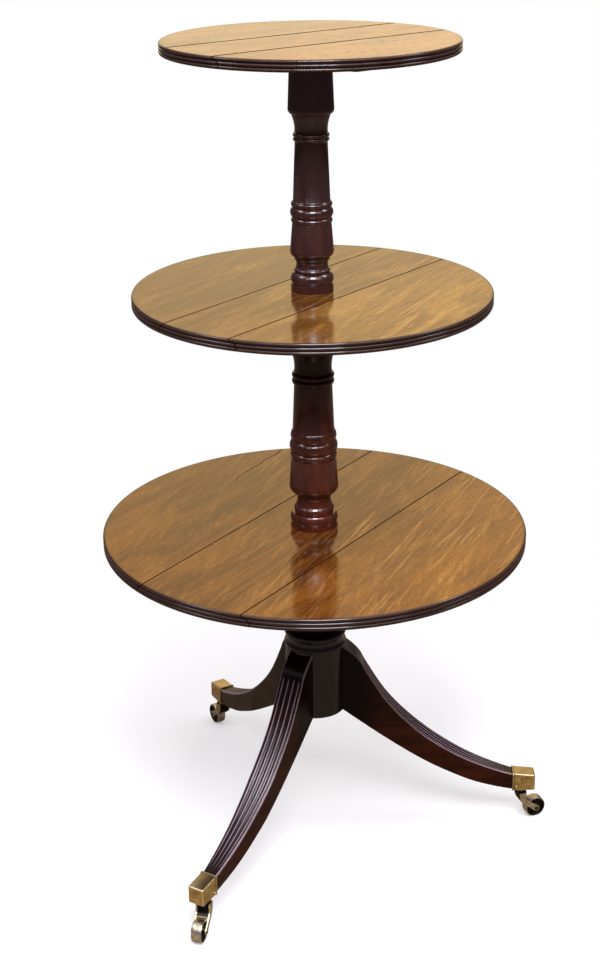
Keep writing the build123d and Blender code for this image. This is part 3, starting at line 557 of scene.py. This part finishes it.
def stained(name, shades, apart, turn=0):
    """Stained mahogany drawn along its grain: material, tree, place, colour and relief."""
    # Mahogany under dark stain. To the eye: near black red, with the grain as fine lighter
    # lines and pores. The pores are drawn 1.1 to 2.4 mm wide, as real ones wouldn't show.
    paint, tree = bare_paint(name)
    place = add(tree, "TexCoord", give="Object")
    along = add(tree, "Mapping", place, Rotation=(0, 0, -radians(turn)))
    dark, mid, light = [colour(code) for code in shades]
    grain = marks(tree, along, apart, 4, 0.6, 0.3)
    mottle = marks(tree, along, (45, 45, 70), 3, 0.6, 0.5)
    pores = marks(tree, along, [gap * 0.12 for gap in apart], 1)
    base = add(tree, "ValToRGB", grain, stops=[(0.28, dark), (0.50, mid), (0.74, light)])
    clouded = add(tree, "MapRange", mottle, 0.42, 0.72, 0, 0.5, **eased)
    base = add(tree, "Mix", clouded, base, dark, data_type="RGBA")
    pored = add(tree, "MapRange", pores, 0.58, 0.70, 0, 0.3, **eased)
    base = add(tree, "Mix", pored, base, darker(dark, 0.5), data_type="RGBA")
    relief = add(tree, "Math", pores, 0.3, mottle, operation="MULTIPLY_ADD")
    return paint, tree, place, base, relief


def polished(tree, place, base, relief, roughness, shine=0.5):
    """Closes a wood's tree with shellac polish that hands have smeared in patches."""
    smear = marks(tree, place, (40, 40, 40), 4)
    rough = add(tree, "MapRange", smear, 0.3, 0.7, *roughness)
    uneven = add(tree, "Bump", Height=relief, Strength=0.12, Distance=0.5 * MM)
    shader = add(tree, "BsdfPrincipled", Base_Color=base, Roughness=rough, IOR=1.5,
                 Specular_IOR_Level=shine, Normal=uneven)
    add(tree, "OutputMaterial", shader)


def column_timber(name, shades, roughness, from_height, to_height, painted_top_tone):
    """Stained mahogany that blends to a painted top tone and loses shine between two heights."""
    # The polish is brightest at the foot, where it is dusted, and dull on the drum under each
    # tier, which was never rubbed. The tone towards the top is painted: painted shade darkens the
    # lower column's upper shaft and neck under the middle tier, and a painted reflection lightens
    # the upper column's neck and drum.
    paint, tree, place, base, relief = stained(name, shades, (20, 20, 120))
    height = add(tree, "SeparateXYZ", place, give="Z")
    high_up = add(tree, "MapRange", height, from_height * MM, to_height * MM, **eased)
    share = add(tree, "Math", high_up, 0.85, operation="MULTIPLY")
    base = add(tree, "Mix", share, base, colour(painted_top_tone), data_type="RGBA")
    shine = add(tree, "MapRange", high_up, 0, 1, 0.75, 0.20)
    polished(tree, place, base, relief, roughness, shine)
    return paint


def turned(name, table, foot, top, radius, paint, nodes):
    """Turns one column piece from its table of shares."""
    points = [(radius * wide, foot + (top - foot) * high) for high, wide, bulge in table]
    profile = [(0, foot), points[0]]
    for (high, wide, bulge), start, end in zip(table[1:], points, points[1:]):
        if bulge:
            chord = Vector((end[0] - start[0], end[1] - start[1]))
            sag = bulge * chord.length
            bend = (chord.length ** 2 / 4 + sag ** 2) / (2 * abs(sag))
            half = asin(min(1, chord.length / 2 / bend))
            out = Vector((chord.y, -chord.x)).normalized() * (1 if sag > 0 else -1)
            centre = (Vector(start) + Vector(end)) / 2 + out * (abs(sag) - bend)
            for i in range(1, 8):
                t = -half + 2 * half * i / 8
                point = centre + out * bend * cos(t) + chord.normalized() * bend * sin(t)
                profile.append((point.x, point.y))
        profile.append(end)
    profile.append((0, top))
    bm = bmesh.new()
    lathe(bm, profile, 128)
    return piece(name, bm, (paint,), "stand", nodes)


# The last colour of each is its painted top tone: a painted reflection on the upper column, painted
# shade on the lower.
column_wood = column_timber("stained mahogany, upper column", ("#250f0e", "#331915", "#44261e"),
                            (0.10, 0.19), 1070, 1104, "#56424a")
lower_wood = column_timber("stained mahogany, lower column", ("#301109", "#4d1e0d", "#6b2b12"),
                           (0.09, 0.17), 660, 760, "#140a09")
# The pillar took the most stain and stands in the shade: it is black brown with little shine.
pillar_wood, *pillar_parts = stained("stained mahogany, pillar",
                                     ("#0e0908", "#15100d", "#1e1612"), (14, 14, 160))
polished(*pillar_parts, (0.12, 0.22))
turned("upper_turned_column", upper_turning, 856.3, 1157.0, 29.25, column_wood,
       ("upper_column",))
turned("lower_turned_column", lower_turning, 505.3, 822.0, 34.25, lower_wood, ("lower_column",))
turned("turned_pillar", pillar_turning, 205.5, 470.0, 46.25, pillar_wood, ("base_pillar",))

# Legs. Three sabre legs sawn from thick mahogany, dovetailed into the pillar, with four
# reeds scratched along the top that start below the shoulder and fade out before the cap.
# They were stained with the base, and shoes have rubbed the crests of the reeds pale, where a
# painted highlight runs too.
root, toe, toe_end = 40.2, 303.0, 335.8
foot_low, foot_high, shoulder, pillar_foot = 57.2, 84.3, 313.0, 205.5
leg_wide, toe_wide, reed_deep, stations = 38.0, 22.0, 2.1, 150
# Distances out at which the reeds start, are full, begin to fade and end.
reeds_start, reeds_full, reeds_fade, reeds_end = 70.5, 73.0, 221.0, 291.0
leg_turns = {"right": 0.0, "front": -120.0, "back": 120.0}
leg_shades = {"right": ("#230c05", "#351508", "#461f0e"),
              "front": ("#220d06", "#331609", "#43200f"),
              "back": ("#2c2110", "#3a2c16", "#48371d")}
leg_top = [(root, shoulder)] + [
    (root + (toe - root) * out, foot_high + (shoulder - foot_high) * high) for out, high in (
        (0.053, 0.952), (0.103, 0.887), (0.142, 0.800), (0.266, 0.571),
        (0.437, 0.362), (0.612, 0.209), (0.787, 0.095))] + [(toe, foot_high), (toe_end, 81.0)]
leg_bottom = [(root, pillar_foot), (73.2, 180.0)] + [
    (root + (toe - root) * out, foot_low + (pillar_foot - foot_low) * high) for out, high in (
        (0.270, 0.637), (0.441, 0.430), (0.616, 0.250),
        (0.791, 0.103))] + [(toe, foot_low), (toe_end, foot_low)]


def leg_timber(name, shades, turn):
    """Stained mahogany of one leg, with its wear, painted highlight and painted shade."""
    # Shoes have dulled the sides and rubbed the crests of the reeds pale, and the top kept its
    # polish. A painted highlight runs with that pale rubbing along the crests and edges. Painted
    # shade darkens the faces that look up, and darkens the leg to nearly black by the pillar,
    # under the bottom tier.
    paint, tree, place, base, relief = stained(name, shades, (120, 12, 14), turn)
    shade = darker(colour(shades[0]), 0.3)
    normal = add(tree, "NewGeometry", give="Normal")
    facing = add(tree, "SeparateXYZ", normal, give="Z")
    faces_up = add(tree, "MapRange", facing, 0.25, 0.75, **eased)
    share = add(tree, "Math", faces_up, 0.85, operation="MULTIPLY")
    base = add(tree, "Mix", share, base, shade, data_type="RGBA")
    shine = add(tree, "MapRange", faces_up, 0, 1, 0.13, 0.34)
    flat = add(tree, "VectorMath", place, (1, 1, 0), operation="MULTIPLY")
    from_axis = add(tree, "VectorMath", flat, operation="LENGTH")
    clear_of_pillar_shade = add(tree, "MapRange", from_axis, 64 * MM, 110 * MM, **eased)
    base = add(tree, "Mix", clear_of_pillar_shade, shade, base, data_type="RGBA")
    crest_highlight = add(tree, "Attribute", attribute_name="crest_highlight", give="Fac")
    smear = add(tree, "Math", marks(tree, place, (40, 40, 40), 4), 0.4, operation="ADD")
    crest_highlight = add(tree, "Math", crest_highlight, smear, operation="MULTIPLY")
    base = add(tree, "Mix", crest_highlight, base, colour("#c0acb6"), data_type="RGBA")
    polished(tree, place, base, relief, (0.14, 0.24), shine)
    return paint


def smooth_line(points, count):
    """Points at even lengths along a smooth curve through the given points."""
    padded = [points[0]] + points + [points[-1]]
    fine = []
    for a, b, c, d in zip(padded, padded[1:], padded[2:], padded[3:]):
        a, b, c, d = Vector(a), Vector(b), Vector(c), Vector(d)
        for i in range(24):
            t = i / 24
            fine.append(0.5 * ((2 * b) + (c - a) * t + (2 * a - 5 * b + 4 * c - d) * t * t
                               + (3 * b - a - 3 * c + d) * t ** 3))
    fine.append(Vector(points[-1]))
    lengths = [0.0]
    for a, b in zip(fine, fine[1:]):
        lengths.append(lengths[-1] + (b - a).length)
    line, j = [], 0
    for i in range(count):
        want = lengths[-1] * i / (count - 1)
        while j < len(fine) - 2 and lengths[j + 1] < want:
            j += 1
        span = lengths[j + 1] - lengths[j]
        line.append(fine[j].lerp(fine[j + 1], (want - lengths[j]) / span if span else 0))
    return line


def leg_section(width, height, depth):
    """Points round a leg's section: across, up from its foot, and its share of pale rubbing and
    painted highlight.
    """
    half, soft, shown = width / 2, 1.6, depth / reed_deep
    band = width - 3.0
    edge, reed = -band / 2, band / 4
    points = [(-half + soft, 0, 0), (-half, soft, 0)]
    points += [(-half, height * share, 0) for share in (0.35, 0.7)] + [(-half, height - 2.2, 0)]
    points += [(-half + 0.5, height - 0.8, 0.7), (edge, height, 0.3)]
    for number in range(4):
        for i in range(13):
            x = -1 + i / 6
            lift = sqrt(max(0.0, 1 - x * x))
            points.append((edge + reed * (number + 0.5 + x * 0.46), height - depth * (1 - lift),
                           shown * max(0.0, 1 - abs(x) * 3)))
    points += [(-edge, height, 0.3), (half - 0.5, height - 0.8, 0.8), (half, height - 2.2, 0.5),
               (half, height - 5.5, 0)]
    points += [(half, height * share, 0) for share in (0.7, 0.35)]
    return points + [(half, soft, 0), (half - soft, 0, 0)]


for name, turn in leg_turns.items():
    bm = bmesh.new()
    crest_highlight = bm.verts.layers.float.new("crest_highlight")
    spin = Matrix.Rotation(radians(turn), 4, "Z")
    rings = []
    for high, low in zip(smooth_line(leg_top, stations), smooth_line(leg_bottom, stations)):
        share = ((high.x + low.x) / 2 - root) / (toe - root)
        width = leg_wide - (leg_wide - toe_wide) * max(0.0, min(1.0, (share - 0.5) / 0.5))
        start = max(0.0, min(1.0, (high.x - reeds_start) / (reeds_full - reeds_start)))
        finish = max(0.0, min(1.0, (reeds_end - high.x) / (reeds_end - reeds_fade)))
        depth = reed_deep * sqrt(start) * sqrt(finish) * width / leg_wide
        rise = high - low
        section = leg_section(width, rise.length, depth)
        ring = bmesh.ops.create_circle(bm, segments=len(section), radius=1)["verts"]
        for vert, (x, y, rubbed_and_highlit) in zip(ring, section):
            point = low + rise.normalized() * y
            vert.co = spin @ Vector((point.x, x, point.y))
            vert[crest_highlight] = rubbed_and_highlit
        rings.append(list({edge for vert in ring for edge in vert.link_edges}))
    for near, far in zip(rings, rings[1:]):
        bmesh.ops.bridge_loops(bm, edges=near + far)
    for end in (rings[0], rings[-1]):
        bmesh.ops.contextual_create(bm, geom=end)
    paint = leg_timber(f"stained mahogany, {name} leg", leg_shades[name], turn)
    piece(f"{name}_sabre_leg", bm, (paint,), "stand", (f"{name}_leg",), 50)

# Brass caps. Cast boxes pushed over the toes, with a thin raised lip at the mouth and one
# slotted screw low on each side, near the lip. A thin band beside the lip is painted near
# black as shade.
cap_end, cap_wall, cap_half = 338.0, 1.7, 12.7
lip, lip_proud, lip_half = 1.8, 0.9, 13.6
# The painted shade band beside the lip and the dark ring round each screw stand this proud.
dark_band_proud, lip_shade_half = 0.12, 12.82
screw_out, screw_up, cap_screw, dark_ring = 6.4, 61.5, 2.6, 3.2


def metal(name, shades, roughness, patch=12):
    """Cast or wrought metal with patches of tarnish and fine scratches."""
    paint, tree = bare_paint(name)
    place = add(tree, "TexCoord", give="Object")
    bright, dull, brown = [colour(code) for code in shades]
    tarnish = marks(tree, place, (patch, patch, patch), 3, 0.55, 0.4)
    specks = marks(tree, place, (patch / 9,) * 3, 2)
    # Real scratches are finer than 0.1 mm: they are drawn 0.5 mm wide so that they show.
    scratch = marks(tree, place, (0.5, 10, 0.6), 2)
    base = add(tree, "ValToRGB", tarnish, stops=[(0.30, bright), (0.55, dull), (0.80, brown)])
    specked = add(tree, "MapRange", specks, 0.62, 0.74, 0, 0.35, **eased)
    base = add(tree, "Mix", specked, base, brown, data_type="RGBA")
    # Dust greys what faces up.
    normal = add(tree, "NewGeometry", give="Normal")
    facing = add(tree, "SeparateXYZ", normal, give="Z")
    dusty = add(tree, "MapRange", facing, 0.6, 0.95, 0, 0.7, **eased)
    base = add(tree, "Mix", dusty, base, colour("#7f7c64"), data_type="RGBA")
    scratched = add(tree, "Mix", 0.4, tarnish, scratch)
    rough = add(tree, "MapRange", scratched, 0.3, 0.7, *roughness)
    uneven = add(tree, "Bump", Height=tarnish, Strength=0.10, Distance=0.4 * MM)
    shader = add(tree, "BsdfPrincipled", Base_Color=base, Metallic=1, Roughness=rough,
                 Normal=uneven)
    add(tree, "OutputMaterial", shader)
    return paint


# Cast brass, filed and polished: yellow with brown clouds. Its edges, which hands and shoes
# rub, are paler and even, and lightened further as a painted highlight. The thin band in the
# corner beside the lip is black and dull, as painted shade.
brass = metal("polished cast brass", ("#f8dc98", "#d4b674", "#7c6638"), (0.24, 0.38), 10)
rubbed_brass_highlight = metal("brass rubbed and highlit at the edges", ("#ffedbc", "#f2d99c", "#d2b478"),
                     (0.26, 0.36), 30)
black_brass_and_shade = metal("blackened brass and painted shade", ("#2a2a26", "#191b18", "#0c0d0b"), (0.35, 0.6))


def toe_outline(start, end, proud):
    """Side view of the toe, which the cap is cast to fit, between two distances out."""
    return [(start, foot_low - proud), (end, foot_low - proud),
            (end, foot_high - (end - toe) * 0.1 + proud),
            (start, foot_high - (start - toe) * 0.1 + proud)]


def leg_frame(turn):
    """Local x out along the leg, y up, z across it."""
    return Matrix.Rotation(radians(turn), 4, "Z") @ Matrix.Rotation(pi / 2, 4, "X")


def rounded_box(bm, outline, place, half, corner, steps, paint):
    """A box with its four long corners rounded; gives all of its edges."""
    known = set(bm.edges)
    points = prism(bm, outline, place, -half, half, paint)
    out = place.to_3x3() @ Vector((1, 0, 0))
    corners = [edge for edge in {edge for point in points for edge in point.link_edges}
               if abs((edge.verts[0].co - edge.verts[1].co).normalized().dot(out)) > 0.9]
    bmesh.ops.bevel(bm, geom=corners, offset=corner, segments=steps, profile=0.5,
                    affect="EDGES", material=-1)
    return [edge for edge in bm.edges if edge not in known]


def slotted_screw(bm, place, radius, thick=0.7):
    """A screw head that stands up along z at a place, with its driver slot across it."""
    prism(bm, arc((0, 0), radius * 0.96, 0, 345, 23), place, -0.3, thick * 0.35)
    slot_half = degrees(asin(0.17))
    for turn in (0, 180):
        half = arc((0, 0), radius, turn + slot_half, turn + 180 - slot_half, 12)
        points = prism(bm, half, place, -0.3, thick)
        edges = list({edge for point in points for edge in point.link_edges})
        bmesh.ops.bevel(bm, geom=edges, offset=0.15, segments=1, profile=0.5,
                        affect="EDGES", material=-1)


for name, turn in leg_turns.items():
    place = leg_frame(turn)
    bm = bmesh.new()
    points = prism(bm, toe_outline(toe, cap_end, cap_wall), place, -cap_half, cap_half)
    at_mouth = {point for point in points if (place.inverted() @ point.co).x < toe + 0.1}
    edges = [edge for edge in bm.edges if not at_mouth.issuperset(edge.verts)]
    rubbed_and_highlit = bmesh.ops.bevel(bm, geom=edges, offset=2.6, segments=4, profile=0.5,
                             affect="EDGES", material=-1)["faces"]
    for face in rubbed_and_highlit:
        face.material_index = 1
    edges = rounded_box(bm, toe_outline(toe, toe + lip, cap_wall + lip_proud), place,
                        lip_half, 3.0, 5, 1)
    bmesh.ops.bevel(bm, geom=edges, offset=0.5, segments=2, profile=0.5, affect="EDGES",
                    material=-1)
    # Painted shade: a thin near black band in the corner beside the lip.
    lip_shade = toe_outline(toe + lip - 0.2, toe + lip + 0.9, cap_wall + dark_band_proud)
    rounded_box(bm, lip_shade, place, lip_shade_half, 2.6, 4, 2)
    piece(f"{name}_brass_cap", bm, (brass, rubbed_brass_highlight, black_brass_and_shade), "stand",
          (f"{name}_cap",))
    bm = bmesh.new()
    for side in (1, -1):
        face = place @ Matrix.Translation((toe + screw_out, screw_up, side * cap_half))
        if side < 0:
            face = face @ Matrix.Rotation(pi, 4, "X")
        slotted_screw(bm, face @ Matrix.Rotation(radians(40), 4, "Z"), cap_screw)
        # A near black ring round each screw head.
        prism(bm, arc((0, 0), dark_ring, 0, 345, 23), face, -0.3, dark_band_proud, 1)
    piece(f"{name}_cap_screws", bm, (rubbed_brass_highlight, black_brass_and_shade), "stand")

# Casters. A cast brass horn turns on its pintle under the cap, and its two bent arms hold
# a brass wheel with blackened dished sides on a riveted axle.
stem, trail, wheel_radius = 317.5, 24.0, 16.5
arm_in, arm_out, eye_radius, wheel_gap = 7.9, 11.1, 5.2, 1.6
caster_turns = {"right": 20.0, "front": -105.0, "back": 120.0}
# Centre line of an arm, (out, up, half its width), from the collar to the eye.
arm_line = ((0.0, 48.5, 6.0), (0.1, 44.0, 5.7), (0.8, 38.5, 5.1), (1.8, 35.0, 4.8),
            (4.8, 31.2, 4.6), (9.5, 27.4, 4.3), (16.0, 22.4, 4.5), (20.5, 19.0, 4.9))
eye = (trail, wheel_radius)
web = ([(-6.0, 45.7), (-5.2, 41.0), (-2.9, 35.5), (-1.6, 31.5), (0.6, 29.2), (7.2, 23.9)]
       + arc(eye, wheel_radius + wheel_gap, 156, 127, 8)
       + [(9.2, 34.4), (6.9, 37.6), (6.1, 42.0), (6.2, 50.0), (5.0, 51.9), (-5.0, 51.9),
          (-6.2, 50.0)])
web_edge = arc(eye, 18.0, 156, 127, 8) + arc(eye, 19.0, 127, 156, 8)
collar = [(0, 51.0), (7.5, 51.0), (7.5, 54.0), (6.9, 54.9), (4.4, 55.1), (4.4, 55.5), (0, 55.5)]
rivet = [(0, -12.1), (1.8, -12.0), (3.2, -11.6), (3.6, -11.1), (2.4, -11.05), (2.4, 11.05),
         (3.6, 11.1), (3.2, 11.6), (1.8, 12.0), (0, 12.1)]
bore, side_rim = 2.45, 15.0
half_wheel = [(bore, 7.5), (5.3, 7.5), (5.6, 7.2), (5.8, 5.0), (12.6, 4.9), (13.3, 5.4),
              (13.5, 7.2), (13.9, 7.5), (side_rim, 7.5), (15.9, 7.1), (16.4, 6.0), (16.5, 2.6)]
# Brass worn by carpets is pale, nearly white on the tread, and grey in its hollows. The
# axle is mild iron, dull grey and a little pitted.
worn_brass = metal("worn pale brass", ("#fbf6e0", "#d2ccb0", "#6c6850"), (0.22, 0.38), 7)
steel = metal("dull iron screws", ("#6b6761", "#4d4944", "#2e2a27"), (0.30, 0.55))


def arm_outline(line, eye, eye_radius):
    """The outline of a bar of changing width that ends in a round eye."""
    left, right_side = [], []
    for i, (x, y, half) in enumerate(line):
        before, after = line[max(0, i - 1)], line[min(len(line) - 1, i + 1)]
        way = Vector((after[0] - before[0], after[1] - before[1])).normalized()
        side = Vector((-way.y, way.x)) * half
        left.append((x + side.x, y + side.y))
        right_side.append((x - side.x, y - side.y))
    way = degrees(atan2(eye[1] - line[-1][1], eye[0] - line[-1][0]))
    tip = arc(eye, eye_radius, way - 80, way + 80, 12)
    return right_side + tip + left[::-1]


for name, turn in leg_turns.items():
    base = Matrix.Rotation(radians(turn), 4, "Z") @ Vector((stem, 0, 0))
    place = Matrix.Translation(base) @ leg_frame(caster_turns[name])
    axle_place = place @ Matrix.Translation((trail, wheel_radius, 0))
    bm = bmesh.new()
    for low, high in ((arm_in, arm_out), (-arm_out, -arm_in)):
        prism(bm, arm_outline(arm_line, eye, eye_radius), place, low, high)
    rubbed_and_highlit = bmesh.ops.bevel(bm, geom=list(bm.edges), offset=0.8, segments=2, profile=0.5,
                             affect="EDGES", material=-1)["faces"]
    for face in rubbed_and_highlit:
        face.material_index = 1
    # The web between the arms is painted near black as its shade, and its edge round the wheel is
    # rubbed brass with a painted highlight.
    prism(bm, web, place, -arm_in - 0.5, arm_in + 0.5, 2)
    prism(bm, web_edge, place, -arm_in, arm_in, 1)
    lathe(bm, collar, 40, Matrix.Translation(base))
    piece(f"{name}_horn", bm, (worn_brass, rubbed_brass_highlight, black_brass_and_shade), f"{name}_caster",
          (f"{name}_caster_fork",))
    bm = bmesh.new()
    lathe(bm, rivet, 28, axle_place)
    piece(f"{name}_rivet", bm, (steel,), f"{name}_caster", (f"{name}_caster_axle",))
    bm = bmesh.new()
    wheel_line = half_wheel + [(x, -y) for x, y in half_wheel[::-1]]
    lathe(bm, wheel_line + wheel_line[:1], 72, axle_place)
    for face in bm.faces:
        middle = axle_place.inverted() @ face.calc_center_median()
        face.material_index = int(bore + 0.05 < hypot(middle.x, middle.y) < side_rim)
    piece(f"{name}_tread_wheel", bm, (worn_brass, black_brass_and_shade), f"{name}_wheel",
          (f"{name}_caster_wheel",))

# Hidden fittings. Bearers, fly brackets, hinges, pivot screws and the leg strap keep
# their CAD solids and take the finish of the real ones; slotted iron screws hold them.

# Bearers and brackets are mahogany, sawn and only waxed: brown, plain and dull. The strap
# and the hinges are wrought iron, black brown from the forge, and dry.
waxed_wood = {}
for name, tier in tiers.items():
    waxed_wood[name], *parts = stained(f"waxed mahogany, {name} tier",
                                       ("#2a140d", "#44241a", "#5d3524"), (130, 9, 12),
                                       tier["turn"])
    polished(*parts, (0.35, 0.55))
iron = metal("wrought iron", ("#4a4743", "#34312e", "#1f1c1a"), (0.40, 0.65))
for node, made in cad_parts.items():
    if node.endswith(("_bearer", "_bracket")):
        paint = waxed_wood[node.split("_")[0]]
    elif "hinge" in node or node == "leg_strap":
        paint = iron
    else:
        paint = steel
    if not made.hide_render:
        made.data.materials.clear()
        made.data.materials.append(paint)

bearer_screw, hinge_screw, strap_screw = 4.2, 2.9, 4.0
bearer_in, bearer_thick, screw_line = 18, 18, 8.5
down = Matrix.Rotation(pi, 4, "X")
for name, tier in tiers.items():
    under = tier["top"] - tier["thick"]
    spin = Matrix.Rotation(radians(tier["turn"]), 4, "Z")
    fixed = bmesh.new()
    for x in (-22, 22):
        for side in (-1, 1):
            head = Vector((x, side * (tier["joint"] - bearer_in), under - bearer_thick))
            slotted_screw(fixed, spin @ Matrix.Translation(head) @ down, bearer_screw)
    for side_name, side in (("left", 1), ("right", -1)):
        loose = bmesh.new()
        for along in hinge_places(tier):
            for bm, steps in ((fixed, (-8.5, -15.5)), (loose, (9.5, 19.0, 28.5))):
                for number, step_out in enumerate(steps):
                    x = along + (screw_line if number % 2 else -screw_line)
                    head = Vector((x, side * (tier["joint"] + step_out), under + cover))
                    slotted_screw(bm, spin @ Matrix.Translation(head) @ down, hinge_screw, 0.1)
        piece(f"{name}_{side_name}_leaf_hinge_screws", loose, (steel,),
              f"{name}_{side_name}_leaf")
    piece(f"{name}_bearer_and_hinge_screws", fixed, (steel,), f"{name}_tier")

strap_thick, strap_drop = 2.5, 25.5 / 33.0
slope = atan2(strap_drop, 1)
bm = bmesh.new()
for turn in leg_turns.values():
    spin = Matrix.Rotation(radians(turn), 4, "Z")
    for run in (10.0, 23.0):
        low = pillar_foot - run * strap_drop - strap_thick / cos(slope)
        head = spin @ Matrix.Translation((root + run, 0, low))
        slotted_screw(bm, head @ Matrix.Rotation(slope, 4, "Y") @ down, strap_screw)
    head = spin @ Matrix.Translation((16.0, 0, pillar_foot - strap_thick))
    slotted_screw(bm, head @ down, strap_screw)
piece("strap_screws", bm, (steel,), "stand")
